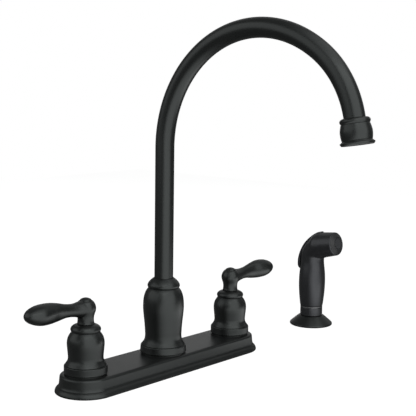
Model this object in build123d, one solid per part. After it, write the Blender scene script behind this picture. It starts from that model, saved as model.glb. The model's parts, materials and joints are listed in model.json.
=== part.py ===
"""Two-handle kitchen faucet on a deck plate, with a gooseneck spout and a side sprayer.

Millimetres, +Z up, +X to the user's right (cold side), -Y towards the user.
The origin is on the sink deck, under the middle of the spout.
"""
from build123d import *
from math import cos, hypot, radians, sin, sqrt
import os

# ---------------------------------------------------------------- driving dimensions
handle_offset = 101.6            # half of the 8 inch centres between the two valves
sprayer_offset = 250.7           # sprayer hole, just under 10 inches right of the spout

plate_half_length = 129.35
plate_half_width = 28.65
plate_height = 16.6
plate_wall = 2.6
cavity_half_width = 21.2
gasket_thickness = 1.5
gasket_margin = 3.65             # how far the gasket stays inside the plate's lip
cover_foot = 17.6                # bells and urn stand on a recessed ring, 1 mm above the plate

tube_radius = 9.1                # spout tube, 18.2 mm across
tube_wall = 1.5
riser_top = 215.1                # height where the arc starts
arc_radius = 110.3               # first, longer bend
arc_turn = 126.0                 # degrees of it
drop_radius = 89.0               # second, tighter bend down to the outlet
outlet_tilt = 10.0               # the outlet leans this far out of vertical

hole_gap = 0.35                  # between a turning part and the hole it passes
fit_gap = 0.05                   # running fits inside the valves

shank_radius = 10.48             # half inch pipe thread below each valve
shank_bottom = -50.0
shank_bore = 5.0
relief_top = -24.0               # thread relief between a shank's two threads
relief_bottom = -26.0
barrel_radius = 11.5             # valve barrel above the plate
barrel_top = 40.0
cross_tube_radius = 4.75
cross_tube_height = 9.0

hub_radius = 15.0                # brass hub under the spout
spout_bore = 11.57
hose_thread_radius = 6.85        # quarter inch pipe thread for the sprayer's hose
hose_nipple_bottom = -44.0

lever_length = 68.6              # from the valve's axis to the tip of the paddle
ball_radius = 9.3
ball_height = 76.3
neck_radius = 7.05
flare_radius = 7.9               # the neck's foot, just above the bell
flare_height = 62.35
cap_height = 83.4                # seam of the button on top of the ball
button_top = 86.0
button_radius = 7.65             # of the button's domed head
lever_turn_socket = 4.2          # twelve-point end of the stem

holder_radius = 24.3             # sprayer holder's flange
holder_top = 10.85               # rim that the sprayer rests on
holder_shank_radius = 13.0
holder_shank_bottom = -45.0
holder_nose_bore = 10.9
hose_guide_radius = 9.0
collar_radius = 12.6
collar_top = 20.6
trim_top = 21.6                  # top of the bright ring between collar and wand
head_tilt = 10.6                 # the spray head looks up by this much
head_face = (-32.0, 97.3)        # centre of the nozzle face, Y and Z from the wand's foot
head_face_radius = 13.05
head_taper = 0.0986              # the head grows by this much for each mm back
disc_hole_circle = 6.35          # radius of the ring of spray holes
trigger_half_width = 6.0
trigger_pivot = (-9.5, 104.6)
trigger_travel = 5.0             # degrees

# ---------------------------------------------------------------- helpers


def point(r, z):
    """A point of a turned outline: distance from the axis, and height."""
    return Vector(r, 0, z)


def rod(z0, z1, radius):
    """A plain cylinder on the Z axis."""
    return Pos(0, 0, z0) * Cylinder(radius, z1 - z0, align=(Align.CENTER, Align.CENTER, Align.MIN))


def sleeve(z0, z1, outer, inner):
    """A tube on the Z axis."""
    return rod(z0, z1, outer) - rod(z0 - 1, z1 + 1, inner)


def lathe(edges):
    """Turn a closed outline, given in the XZ plane, about the Z axis."""
    return revolve(make_face(edges), Axis.Z)


def polyline(points):
    """Straight edges through a list of (radius, height) points."""
    corners = [point(r, z) for r, z in points]
    return [Line(a, b) for a, b in zip(corners[:-1], corners[1:])]


def smooth(points, start=None, end=None):
    """A spline through (radius, height) points, with optional end directions."""
    corners = [point(r, z) for r, z in points]
    if start and end:
        return Spline(*corners, tangents=[point(*start), point(*end)])
    return Spline(*corners)


def across(y0, y1, radius, z, x=0.0):
    """A cylinder along Y at height z."""
    body = Cylinder(radius, y1 - y0, rotation=(-90, 0, 0), align=(Align.CENTER, Align.CENTER, Align.MIN))
    return Pos(x, y0, z) * body


def stadium(half_length, half_width, z0, z1):
    """A racetrack slab."""
    face = SlotOverall(2 * half_length, 2 * half_width)
    return Pos(0, 0, z0) * extrude(face, z1 - z0)


def hexagon(z0, z1, flats, bore):
    """A hexagon nut blank with a round bore."""
    blank = extrude(RegularPolygon(flats / 2, 6, major_radius=False), z1 - z0)
    return Pos(0, 0, z0) * blank - rod(z0 - 1, z1 + 1, bore)


def ring_of_holes(z0, z1, hole, circle, count, first=0.0):
    """Round rods standing on a circle, to be cut away."""
    rods = []
    for i in range(count):
        turn = radians(first + 360 * i / count)
        rods.append(Pos(circle * cos(turn), circle * sin(turn), 0) * rod(z0, z1, hole))
    return rods


def o_ring(z, middle, section):
    """A rubber ring round the Z axis."""
    return Pos(0, 0, z) * Torus(middle, section)


# ---------------------------------------------------------------- deck plate


def deck_plate():
    """Cast cover: racetrack outline, flat top, near-vertical band and a flared lip."""
    w = plate_half_width
    h = plate_height
    straight = plate_half_length - plate_half_width
    floor = Line(point(0, 0), point(w - 0.6, 0))
    lip = ThreePointArc(point(w - 0.6, 0), point(w - 0.18, 0.18), point(w, 0.6))
    lip_rise = [(w, 0.6), (w - 0.1, 1.7), (w - 1.0, 3.5), (w - 1.9, 4.5), (w - 2.7, 5.1)]
    flare = smooth(lip_rise, (0, 1), (-1, 0.7))
    groove = polyline([(w - 2.7, 5.1), (w - 3.0, 5.3), (w - 3.0, 5.7)])
    cove = smooth([(w - 3.0, 5.7), (w - 3.6, 7.0), (w - 3.9, 8.4)], (-0.6, 1), (-0.1, 1))
    band = Line(point(w - 3.9, 8.4), point(w - 4.5, h - 1.4))
    arris = ThreePointArc(point(w - 4.5, h - 1.4), point(w - 4.85, h - 0.4), point(w - 5.6, h))
    top = Line(point(w - 5.6, h), point(0, h))
    middle = Line(point(0, h), point(0, 0))
    half = make_face([floor, lip, flare] + groove + [cove, band, arris, top, middle])
    end = revolve(half, Axis.Z)
    side = extrude(Rot(0, 0, 90) * half, 2 * straight, dir=(1, 0, 0))
    side = Pos(-straight, 0, 0) * side
    body = side + mirror(side, Plane.XZ) + Pos(straight, 0, 0) * end + Pos(-straight, 0, 0) * end
    cavity = stadium(straight + cavity_half_width, cavity_half_width, -1, h - plate_wall)
    seat = stadium(plate_half_length - gasket_margin + 0.1, w - gasket_margin + 0.1, -1, gasket_thickness + 0.05)
    body = body - cavity - seat - rod(0, h + 1, hub_radius + 0.4)
    for side_of in (-1, 1):
        body -= Pos(side_of * handle_offset, 0, 0) * rod(0, h + 1, barrel_radius + 0.3)
    return body


def deck_gasket():
    """Rubber sheet between plate and sink, holed for both shanks and the hub."""
    sheet = stadium(plate_half_length - gasket_margin, plate_half_width - gasket_margin, 0, gasket_thickness)
    sheet -= rod(-1, 3, 10.2)
    for side_of in (-1, 1):
        sheet -= Pos(side_of * handle_offset, 0, 0) * rod(-1, 3, shank_radius + 0.3)
    return sheet


# ---------------------------------------------------------------- turned covers


def turned_cover(foot, band, waist, belly, shoulder, crease, ring, crown, mouth, inside):
    """A bell or urn: recessed foot, base band, cove, waist, belly, shoulder, crease, ring and crown.

    foot is the radius of the recessed foot. Every other argument is a (radius, height) point
    or a list of them; inside is the inner outline from the mouth down to the foot.
    """
    band_top = band[-1]
    cove_start = (band_top[0] - 0.7, band_top[1] + 0.6)
    outline = polyline([(foot, plate_height), (foot, cover_foot)] + band + [cove_start])
    outline += [
        smooth([cove_start, waist], (-0.85, 1), (0, 1)),
        smooth([waist, belly], (0, 1), (0, 1)),
        smooth([belly] + shoulder + [crease], (0, 1), (-1, 1.05)),
        ThreePointArc(point(*crease), point(*ring[0]), point(*ring[1])),
        smooth([ring[1]] + crown + [mouth], (-1, 1.1), (-1, 0.25)),
    ]
    return lathe(outline + polyline([mouth] + inside + [(foot, plate_height)]))


def bell():
    """Cover over one valve, screwed down on the bonnet nut."""
    return turned_cover(
        foot=18.8,
        band=[(19.68, cover_foot), (19.5, cover_foot + 6.95)],
        waist=(15.95, cover_foot + 14.6),
        belly=(16.93, cover_foot + 27.2),
        shoulder=[(16.3, cover_foot + 31.5), (14.95, cover_foot + 34.5)],
        crease=(13.0, cover_foot + 37.3),
        ring=[(13.72, cover_foot + 39.9), (12.6, cover_foot + 42.3)],
        crown=[],
        mouth=(neck_radius + hole_gap + 0.6, cover_foot + 44.5),
        inside=[
            (neck_radius + hole_gap, cover_foot + 44.5),
            (neck_radius + hole_gap, cover_foot + 42.8),
            (10.6, cover_foot + 38.0),
            (13.65, cover_foot + 29.0),
            (13.65, cover_foot + 14.0),
            (17.3, cover_foot + 6.0),
            (17.3, plate_height),
        ],
    )


def urn():
    """Taller cover at the foot of the spout."""
    return turned_cover(
        foot=21.4,
        band=[(22.3, cover_foot), (21.8, cover_foot + 6.7)],
        waist=(17.66, cover_foot + 16.2),
        belly=(19.78, cover_foot + 44.6),
        shoulder=[(19.2, cover_foot + 52.4), (17.5, cover_foot + 58.4)],
        crease=(14.9, cover_foot + 62.5),
        ring=[(15.62, cover_foot + 64.9), (14.6, cover_foot + 67.5)],
        crown=[(12.05, cover_foot + 70.5)],
        mouth=(tube_radius + hole_gap + 0.6, cover_foot + 72.2),
        inside=[
            (tube_radius + hole_gap, cover_foot + 72.2),
            (tube_radius + hole_gap, cover_foot + 69.5),
            (12.4, cover_foot + 64.0),
            (13.4, cover_foot + 61.0),
            (17.5, cover_foot + 51.5),
            (17.5, cover_foot + 42.0),
            (15.9, cover_foot + 22.0),
            (15.9, cover_foot + 14.0),
            (19.3, cover_foot + 6.0),
            (19.3, plate_height),
        ],
    )


# ---------------------------------------------------------------- valves, drawn on the Z axis

seat_height = 20.5
disc_bottom = 22.25
disc_joint = 24.6
disc_top = 27.0
disc_radius = 7.0
stem_radius = 4.95
guide_bottom = 31.6
guide_top = 52.0
flange_top = 42.5
nut_top = 45.0
oring_height = 45.1


def valve_body():
    """Brass body: threaded shank, deck flange, barrel, and a side port to the hub (towards -X)."""
    body = rod(shank_bottom, gasket_thickness, shank_radius)
    body += rod(gasket_thickness, 6, 15)
    body += rod(6, barrel_top, barrel_radius)
    body -= rod(shank_bottom - 1, seat_height, shank_bore)
    body -= rod(seat_height, barrel_top + 1, 8.05)
    body -= sleeve(relief_bottom, relief_top, 12, 9.6)
    gallery = Pos(-8.2, 0, 0) * rod(6.5, seat_height + 1, 1.9)
    port = Rot(0, -90, 0) * rod(8.6, 20, cross_tube_radius + fit_gap)
    return body - gallery - Pos(0, 0, cross_tube_height) * port


def seat_washer():
    """Rubber washer under the cartridge."""
    return sleeve(seat_height, disc_bottom - 0.05, 7.9, 5.6)


def cartridge_housing():
    """Turned housing: skirt round the discs, clamping flange, and the stem's guide."""
    body = sleeve(disc_bottom, guide_bottom, 7.95, disc_radius + 0.15)
    body += sleeve(guide_bottom, guide_top, 7.95, stem_radius + fit_gap)
    body += sleeve(barrel_top, flange_top, barrel_radius - 0.1, 7.9)
    for side_of in (-1, 1):
        body -= Pos(side_of * 8, 0, 29.4) * Box(6, 5, 3)
    return body


def ceramic_disc(z0, z1, turned):
    """Ceramic disc with two ports; the moving one stands a quarter turn off when shut."""
    disc = rod(z0, z1, disc_radius)
    for hole in ring_of_holes(z0 - 1, z1 + 1, 2.1, 3.9, 2, turned):
        disc -= hole
    return disc


def bonnet_nut():
    """Cap nut that holds the cartridge in the barrel; the bell screws on its outside."""
    skirt = sleeve(34, flange_top, 13.6, barrel_radius + 0.02)
    lip = sleeve(flange_top, nut_top, 13.6, 8.1)
    return skirt + lip


def stem():
    """Brass stem: driving foot, ring groove and a twelve-point end for the lever."""
    body = rod(disc_top, guide_bottom - 0.2, disc_radius)
    body += rod(guide_bottom - 0.2, 58, stem_radius)
    body += extrude(Pos(0, 0, 58) * RegularPolygon(lever_turn_socket, 12), 14)
    body -= sleeve(oring_height - 1.05, oring_height + 1.05, 6, 2.95)
    return body - rod(60, 73, 2.0)


def mounting_washer():
    return sleeve(-12, -10, 17, shank_radius + 0.2)


def mounting_nut():
    return hexagon(-21, -12, 31, shank_radius + 0.02)


def cross_tube():
    """Copper tube from a valve to the hub, drawn along X on the cold side."""
    tube = rod(8.1, handle_offset - 8.7, cross_tube_radius) - rod(7, handle_offset, cross_tube_radius - 0.8)
    return Pos(0, 0, cross_tube_height) * (Rot(0, 90, 0) * tube)


# ---------------------------------------------------------------- lever, drawn on the Z axis, pointing to +X

# Sections of the arm and paddle: distance from the axis, height, half height, half width.
lever_sections = [
    (3.0, 75.6, 7.4, 6.6),
    (9.0, 76.4, 6.9, 6.3),
    (15.0, 76.8, 6.1, 5.7),
    (24.0, 77.7, 6.2, 5.2),
    (34.0, 78.1, 8.1, 6.1),
    (44.0, 78.4, 9.3, 9.2),
    (54.0, 78.55, 9.0, 10.9),
    (61.0, 78.7, 7.8, 9.4),
    (65.6, 78.8, 5.4, 6.6),
    (68.0, 78.85, 2.4, 3.0),
    (lever_length, 78.85, 0.6, 0.8),
]


def lever():
    """One casting: flared neck, ball and teardrop paddle, bored for stem, screw and cap."""
    foot = cover_foot + 41.6
    ball_edge = sqrt(ball_radius ** 2 - (cap_height - ball_height) ** 2)
    joint_z = 73.0
    joint_r = sqrt(ball_radius ** 2 - (joint_z - ball_height) ** 2)
    neck = polyline([(neck_radius, foot), (neck_radius, flare_height), (flare_radius, flare_height)])
    rise = [(flare_radius, flare_height), (7.32, 66.2), (7.6, 69.6), (joint_r, joint_z)]
    blend = smooth(rise, (-0.25, 1), (ball_height - joint_z, joint_r))
    ball = ThreePointArc(point(joint_r, joint_z), point(ball_radius, ball_height), point(ball_edge, cap_height))
    inner = polyline([(ball_edge, cap_height), (0, cap_height), (0, foot), (neck_radius, foot)])
    hub = lathe(neck + [blend, ball] + inner)
    rings = []
    for x, z, half_height, half_width in lever_sections:
        section = Plane(origin=(x, 0, z), x_dir=(0, 1, 0), z_dir=(1, 0, 0))
        rings.append(section * Ellipse(half_width, half_height))
    paddle = loft(rings)
    body = hub + (paddle - rod(cap_height, 100, 12))
    socket = Pos(0, 0, foot - 1) * extrude(RegularPolygon(lever_turn_socket + fit_gap, 12), 73.3 - foot)
    return body - socket - rod(foot, 78, 2.2) - rod(77.5, cap_height + 1, 4.5)


def handle_screw():
    """Socket screw that holds the lever on the stem."""
    body = rod(61, 77.5, 1.95) + rod(77.5, 80.3, 3.6)
    return body - Pos(0, 0, 78.6) * extrude(RegularPolygon(1.5, 6), 3)


def cap_button():
    """Plug with a domed head that completes the ball and hides the screw."""
    sphere = Pos(0, 0, button_top - button_radius) * Sphere(button_radius)
    dome = sphere & rod(cap_height + 0.15, button_top + 1, 8)
    return dome + rod(80.8, cap_height + 0.5, 4.4)


# ---------------------------------------------------------------- spout and hub

shank_top = 62.0
nut_lip = 64.0
hub_top = 64.0
diverter_bottom = 14.0
diverter_seat = 25.0
diverter_top = 31.5
poppet_top = 22.0


def arc_points():
    """End of the first bend and of the second, with the second bend's centre, as (y, z)."""
    a = radians(arc_turn)
    joint = (-arc_radius + arc_radius * cos(a), riser_top + arc_radius * sin(a))
    centre = (joint[0] - drop_radius * cos(a), joint[1] - drop_radius * sin(a))
    b = radians(180 - outlet_tilt)
    end = (centre[0] + drop_radius * cos(b), centre[1] + drop_radius * sin(b))
    return joint, centre, end


def spout_path():
    """Centre line of the gooseneck: riser, long bend, tighter bend."""
    joint, centre, end = arc_points()
    half = radians(arc_turn / 2)
    crest = (-arc_radius + arc_radius * cos(half), riser_top + arc_radius * sin(half))
    between = radians((arc_turn + 180 - outlet_tilt) / 2)
    drop = (centre[0] + drop_radius * cos(between), centre[1] + drop_radius * sin(between))
    riser = Line((0, 0, 40.0), (0, 0, riser_top))
    bend = ThreePointArc((0, 0, riser_top), (0, *crest), (0, *joint))
    turn_down = ThreePointArc((0, *joint), (0, *drop), (0, *end))
    return Wire([riser, bend, turn_down])


def spout_tube():
    path = spout_path()
    section = Pos(0, 0, 40.0) * (Circle(tube_radius) - Circle(tube_radius - tube_wall))
    return sweep(section, path=path)


def at_outlet(part):
    """Carry a part drawn hanging down the Z axis (outlet end at z below 0) to the spout's end."""
    end = arc_points()[2]
    return Pos(0, *end) * Rot(-outlet_tilt, 0, 0) * part


def outlet_collar():
    """Turned collar: top ring, groove, barrel and a thin flange."""
    groove = [(12.3, -1.0), (11.9, -1.5), (12.2, -2.0)]
    barrel = [(12.2, -2.0), (12.85, -4.5), (13.4, -7.3), (13.42, -10.0), (13.1, -13.0), (12.7, -14.8)]
    outline = [smooth([(10.2, 3.2), (12.1, 2.1), (12.8, 0.7), (12.3, -1.0)])]
    outline += polyline(groove)
    outline.append(smooth(barrel))
    outline.append(smooth([(12.7, -14.8), (13.3, -16.0), (14.3, -16.6)]))
    outline.append(smooth([(14.3, -16.6), (14.55, -17.2), (14.2, -17.9)]))
    inside = [(14.2, -17.9), (13.2, -19.2), (11.0, -19.2), (11.0, -1.0), (tube_radius + 0.1, -1.0)]
    outline += polyline(inside + [(tube_radius + 0.1, 3.2), (10.2, 3.2)])
    return at_outlet(lathe(outline))


def aerator_housing():
    """Threaded cup in the collar's mouth."""
    cup = sleeve(-18.6, -6, 10.9, 8.8) + sleeve(-18.6, -17.6, 10.9, 8.0)
    for notch in range(4):
        cup -= Rot(0, 0, 90 * notch) * Pos(10.4, 0, -18.6) * Box(2.4, 3.2, 2.0)
    return at_outlet(cup)


def aerator_washer():
    return at_outlet(sleeve(-5.9, -3.9, 10.8, 7.6))


def aerator_screen():
    """Moulded screen with its grid of small holes."""
    disc = rod(-17.5, -15.9, 8.7)
    pitch = 2.6
    cells = [(i * pitch, j * pitch) for i in range(-2, 3) for j in range(-2, 3)]
    holes = [Pos(x, y, -17) * Box(1.7, 1.7, 4) for x, y in cells if hypot(x, y) < 7]
    return at_outlet(disc - holes)


def spout_shank():
    """Brass foot brazed on the tube, with two ring grooves."""
    body = sleeve(34, shank_top, spout_bore - 0.07, tube_radius + 0.02)
    body += sleeve(34, 39.9, spout_bore - 0.07, tube_radius - tube_wall)
    for z in (45.0, 55.0):
        body -= sleeve(z - 0.9, z + 0.9, 13, 9.98)
    return body


def spout_orings():
    return o_ring(45.0, 10.75, 0.74) + o_ring(55.0, 10.75, 0.74)


def spout_wear_ring():
    """Slip ring between the shank's shoulder and the nut's lip."""
    return sleeve(shank_top + 0.05, nut_lip - 0.1, spout_bore - 0.15, tube_radius + 0.1)


def spout_hub():
    """Brass hub: ports for both cross tubes, diverter chamber, spout bore and hose stub."""
    body = rod(2, 5, 17) + rod(5, hub_top, hub_radius) + rod(-24, 2, 9.5)
    body -= rod(32, hub_top + 1, spout_bore)
    body -= rod(3.5, 33, 8.0)
    body -= rod(-25, 4, 4.0)
    body -= rod(-25, -6, 6.2)
    for turn in (90, -90):
        body -= Pos(0, 0, cross_tube_height) * Rot(0, turn, 0) * rod(0, 18, cross_tube_radius + fit_gap)
    return body


def spout_retaining_nut():
    return sleeve(50, hub_top, 16.4, hub_radius + 0.02) + sleeve(nut_lip, nut_lip + 2.5, 16.4, tube_radius + 0.3)


def diverter_body():
    """Insert in the hub that holds the diverter's poppet."""
    body = rod(diverter_bottom, diverter_top, 7.95)
    body -= rod(16, diverter_seat, 5.0)
    body -= rod(diverter_seat - 1, diverter_top + 1, 3.1)
    body -= rod(diverter_bottom - 1, 17, 1.6)
    for hole in ring_of_holes(diverter_bottom - 1, 17, 1.0, 3.4, 4, 45):
        body -= hole
    return body


def diverter_poppet():
    return rod(diverter_bottom - 1.5, 20.5, 1.5) + rod(20.5, poppet_top, 4.9)


def diverter_spring():
    """Return spring, drawn as the plain sleeve that its coils fill."""
    return sleeve(poppet_top + 0.05, diverter_seat - 0.05, 4.5, 3.4)


def hose_nipple():
    body = rod(-25, -7, 6.15) + hexagon(-29, -24.05, 17, 1) + rod(hose_nipple_bottom, -28, hose_thread_radius)
    return body - rod(hose_nipple_bottom - 1, 0, 4.2)


# ---------------------------------------------------------------- sprayer, drawn on the Z axis


def sprayer_holder():
    """Flanged holder: conical skirt, threaded shank, dock for the wand and hose guide."""
    lip = holder_radius - 1.1
    rim = ThreePointArc(point(lip, 0), point(holder_radius, 1.5), point(holder_radius - 0.9, 2.8))
    skirt = [(holder_radius - 0.9, 2.8), (14.6, 10.5), (13.9, holder_top)]
    skirt += [(holder_nose_bore + 0.6, holder_top), (holder_nose_bore, holder_top - 0.6)]
    dock = [(holder_nose_bore, -18), (hose_guide_radius, -20), (hose_guide_radius, holder_shank_bottom)]
    shank = [(holder_shank_radius, holder_shank_bottom), (holder_shank_radius, 1.0)]
    recess = [(20.1, 1.0), (20.1, 0), (lip, 0)]
    body = lathe([rim] + polyline(skirt + dock + shank + recess))
    return body - sleeve(relief_bottom, relief_top, 14, holder_shank_radius - 0.8)


def holder_gasket():
    """Thin rubber ring under the holder's flange, let in flush."""
    return sleeve(0, 0.95, 20.0, holder_shank_radius + 0.05)


def holder_nut():
    body = hexagon(-22, -15, 36, holder_shank_radius + 0.02)
    return body + sleeve(-15, -13, 21, holder_shank_radius + 0.02)


def spray_coupling():
    """Hose end: nose in the holder, visible collar, and the spigot that the wand turns on."""
    nose = [(5.2, -15), (9.6, -15), (10.6, -13.5), (10.6, holder_top + 0.2)]
    collar = [(collar_radius - 0.5, holder_top + 0.2), (collar_radius, holder_top + 0.7)]
    collar += [(collar_radius, collar_top - 0.4), (collar_radius - 0.3, collar_top), (8.5, collar_top)]
    spigot = [(8.5, 29.5), (4.0, 29.5), (4.0, 1.0), (5.2, 0.0), (5.2, -15)]
    body = lathe(polyline(nose + collar + spigot))
    clip_groove = sleeve(24.0, 25.3, 9, 7.6)
    ring_groove = sleeve(26.6, 28.5, 9, 6.65)
    return body - clip_groove - ring_groove


def coupling_oring():
    return o_ring(27.55, 7.58, 0.9)


def swivel_clip():
    """Open ring that keeps the wand on the coupling's spigot."""
    return sleeve(24.05, 25.25, 9.2, 7.65) - Pos(9, 0, 24.6) * Box(6, 3, 3)


def spray_trim_ring():
    return sleeve(collar_top + 0.05, trim_top, collar_radius, 8.55)


def wand_outline(inset):
    """Radius and height along the wand's grip, from foot to waist."""
    grip = [(12.65, trim_top + 0.15), (13.35, 27), (14.35, 36), (15.0, 48), (14.75, 58), (14.0, 66), (13.4, 72)]
    return [(r - inset, z) for r, z in grip]


def wand_core(inset):
    """The wand's outer form, or its inner one where inset is the wall."""
    grip = wand_outline(inset)
    grip_edges = [smooth(grip)] + polyline([grip[-1], (0, grip[-1][1]), (0, grip[0][1]), grip[0]])
    body = lathe(grip_edges)
    neck_turn = 40.0
    rings = []
    for y, z, turn, radius in ((0, 72, 0, 13.4), (-1.3, 78.5, 12, 13.1), (-7.0, 91.0, neck_turn, 14.5)):
        rings.append(Pos(0, y, z) * Rot(turn, 0, 0) * Circle(radius - inset))
    body += loft(rings)
    body += Pos(0, -7.0, 91.0) * Sphere(14.5 - inset)
    back = 24.0
    front = head_face_radius - inset
    head = Cone(front + back * head_taper, front, back, align=(Align.CENTER, Align.CENTER, Align.MAX))
    return body + at_head(head)


def at_head(part):
    """Carry a part drawn on the Z axis, looking up with its face at z = 0, to the spray head."""
    return Pos(0, *head_face) * Rot(90 - head_tilt, 0, 0) * part


def trigger_outline():
    """Side view of the trigger as edges in the YZ plane: long back curve, rounded foot, inner curve."""
    back = [(-12.6, 109.3), (-5.5, 106.9), (1.8, 101.6), (8.2, 95.2), (13.0, 87.4), (16.0, 79.8), (17.3, 72.0)]
    foot = [(17.3, 72.0), (16.9, 67.0), (15.5, 63.0), (13.6, 62.3)]
    inner = [(13.6, 62.3), (13.8, 67.2), (13.7, 72.5), (12.6, 79.5), (9.8, 86.0), (5.4, 92.6)]
    inner += [(-0.6, 98.6), (-8.4, 103.0), (-12.6, 103.8)]
    return back, foot, inner


def trigger_blank(half_width):
    """The trigger's strip without its pin hole."""
    back, foot, inner = trigger_outline()
    edges = [Spline(*[Vector(0, y, z) for y, z in run]) for run in (back, foot, inner)]
    edges.append(Line(Vector(0, *inner[-1]), Vector(0, *back[0])))
    face = make_face(edges)
    return extrude(face, half_width, dir=(1, 0, 0), both=True)


def rounded_strip(z0, z1, half_width):
    """A vertical strip with round ends, seen from behind, as a long prism along Y."""
    outline = SlotOverall(z1 - z0, 2 * half_width, rotation=90)
    return extrude(Plane.XZ * Pos(0, (z0 + z1) / 2) * outline, 40, both=True)


def trigger_slot():
    """Opening in the shell that the trigger sinks into: it clears the strip at every angle."""
    run = [(-13.2, 112), (-13.2, 103.2), (-8.7, 102.2), (-1.7, 97.2), (3.5, 90.8), (7.0, 84.0), (8.6, 76.0)]
    run += [(8.6, 58.6), (30, 58.6), (30, 112)]
    face = make_face(Polyline(*[Vector(0, y, z) for y, z in run], close=True))
    half_width = trigger_half_width + 0.4
    return extrude(face, half_width, dir=(1, 0, 0), both=True) & rounded_strip(58.8, 125, half_width)


plunger_height = 72.0
plunger_radius = 2.9


def wand_shell():
    """Moulded shell of grip and head, open at the nozzle and slotted along the back."""
    wall = 2.2
    body = wand_core(0) - wand_core(wall)
    body -= at_head(rod(-30, 1, head_face_radius - 0.95))
    body -= trigger_slot()
    body -= Pos(0, *trigger_pivot) * (Rot(0, 90, 0) * Cylinder(1.05, 15.2))
    return body.solids().sort_by(SortBy.VOLUME)[-1]


def wand_waterway():
    """Inner body: swivel socket, riser, valve barrel and the pipe to the nozzle."""
    body = rod(trim_top + 0.3, 33, 10.1) + rod(33, 84, 6.2) + across(-10, 8.5, 5.4, plunger_height)
    elbow = Pos(0, 0, 84) * Sphere(6.2)
    pipe = at_head(rod(-30, -6, 5.4)) + at_head(rod(-6, -2.2, 9.5))
    body = body + elbow + pipe
    body -= rod(19, 29.8, 8.57) + rod(24.0, 25.3, 9.25)
    body -= rod(29, 68, 3.2)
    body -= across(-8.5, 9, plunger_radius + fit_gap, plunger_height)
    body -= rod(plunger_height, 88, 2.4)
    return body - at_head(rod(-32, -1, 3.8))


def nozzle_ring():
    """Outer ring of the nozzle: a shallow cone that stands proud in the middle."""
    outer = head_face_radius - 1.0
    bore = disc_hole_circle + 1.1
    outline = [(bore, 2.2), (8.1, 2.2), (outer, 0.35), (outer, -2.0), (bore, -2.0), (bore, 2.2)]
    return at_head(lathe(polyline(outline)))


def spray_disc():
    """Perforated disc in the middle of the nozzle."""
    disc = rod(-2.0, 2.1, disc_hole_circle + 1.05)
    for hole in ring_of_holes(-3, 3, 0.6, disc_hole_circle, 16):
        disc -= hole
    return at_head(disc)


def spray_trigger():
    """Thumb strip down the back of the wand, hinged at the top."""
    body = trigger_blank(trigger_half_width) & rounded_strip(62.0, 109.4, trigger_half_width)
    hole = Pos(0, *trigger_pivot) * (Rot(0, 90, 0) * Cylinder(1.1, 30))
    return body - hole


def trigger_pin():
    return Pos(0, *trigger_pivot) * (Rot(0, 90, 0) * Cylinder(1.05, 15))


def spray_plunger():
    return across(-1.0, 11.8, plunger_radius, plunger_height) + across(11, 13.1, 1.8, plunger_height)


def valve_spring():
    """Return spring behind the plunger, drawn as the plain sleeve that its coils fill."""
    spring = across(-8.4, -1.05, 2.7, plunger_height)
    return spring - across(-9, 0, 1.9, plunger_height)


# ---------------------------------------------------------------- assembly


def place(part, x):
    return Pos(x, 0, 0) * part


def flip(part):
    """Turn a cold-side part round to the hot side."""
    return Rot(0, 0, 180) * part


parts = {
    "deck_plate": deck_plate(),
    "deck_gasket": deck_gasket(),
    "spout_hub": spout_hub(),
    "spout_urn": urn(),
    "spout_retaining_nut": spout_retaining_nut(),
    "diverter_body": diverter_body(),
    "diverter_poppet": diverter_poppet(),
    "diverter_spring": diverter_spring(),
    "hose_nipple": hose_nipple(),
    "spout_tube": spout_tube(),
    "spout_shank": spout_shank(),
    "spout_orings": spout_orings(),
    "spout_wear_ring": spout_wear_ring(),
    "outlet_collar": outlet_collar(),
    "aerator_housing": aerator_housing(),
    "aerator_washer": aerator_washer(),
    "aerator_screen": aerator_screen(),
    "cold_cross_tube": cross_tube(),
    "hot_cross_tube": flip(cross_tube()),
}

valve_makers = {
    "valve_body": valve_body,
    "seat_washer": seat_washer,
    "cartridge_housing": cartridge_housing,
    "bonnet_nut": bonnet_nut,
    "bell": bell,
    "stem": stem,
    "lever": lever,
    "handle_screw": handle_screw,
    "cap_button": cap_button,
}
for name, make in valve_makers.items():
    cold = make()
    parts["cold_" + name] = place(cold, handle_offset)
    parts["hot_" + name] = place(flip(cold), -handle_offset)

for side_name, x in (("hot_", -handle_offset), ("cold_", handle_offset)):
    parts[side_name + "fixed_disc"] = place(ceramic_disc(disc_bottom, disc_joint - 0.03, 0), x)
    parts[side_name + "turning_disc"] = place(ceramic_disc(disc_joint, disc_top, 90), x)
    parts[side_name + "stem_oring"] = place(o_ring(oring_height, 3.95, 0.96), x)

parts["mounting_washers"] = place(mounting_washer(), handle_offset) + place(mounting_washer(), -handle_offset)
parts["mounting_nuts"] = place(mounting_nut(), handle_offset) + place(mounting_nut(), -handle_offset)

sprayer_makers = {
    "sprayer_holder": sprayer_holder,
    "holder_gasket": holder_gasket,
    "holder_nut": holder_nut,
    "spray_coupling": spray_coupling,
    "spray_trim_ring": spray_trim_ring,
    "coupling_oring": coupling_oring,
    "swivel_clip": swivel_clip,
    "wand_shell": wand_shell,
    "wand_waterway": wand_waterway,
    "nozzle_ring": nozzle_ring,
    "spray_disc": spray_disc,
    "spray_trigger": spray_trigger,
    "trigger_pin": trigger_pin,
    "spray_plunger": spray_plunger,
    "valve_spring": valve_spring,
}
for name, make in sprayer_makers.items():
    parts[name] = place(make(), sprayer_offset)

os.makedirs("parts", exist_ok=True)
for name, part in parts.items():
    export_step(part, f"parts/{name}.step")
print(len(parts), "parts written")
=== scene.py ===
"""A two-handle kitchen faucet with a gooseneck spout and a side sprayer, finished matte black.

Sizes are in millimetres from the sink deck under the spout, +X to the cold side and the
sprayer, -Y towards the user; meshes are written in metres.
"""
import json
import math

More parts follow.
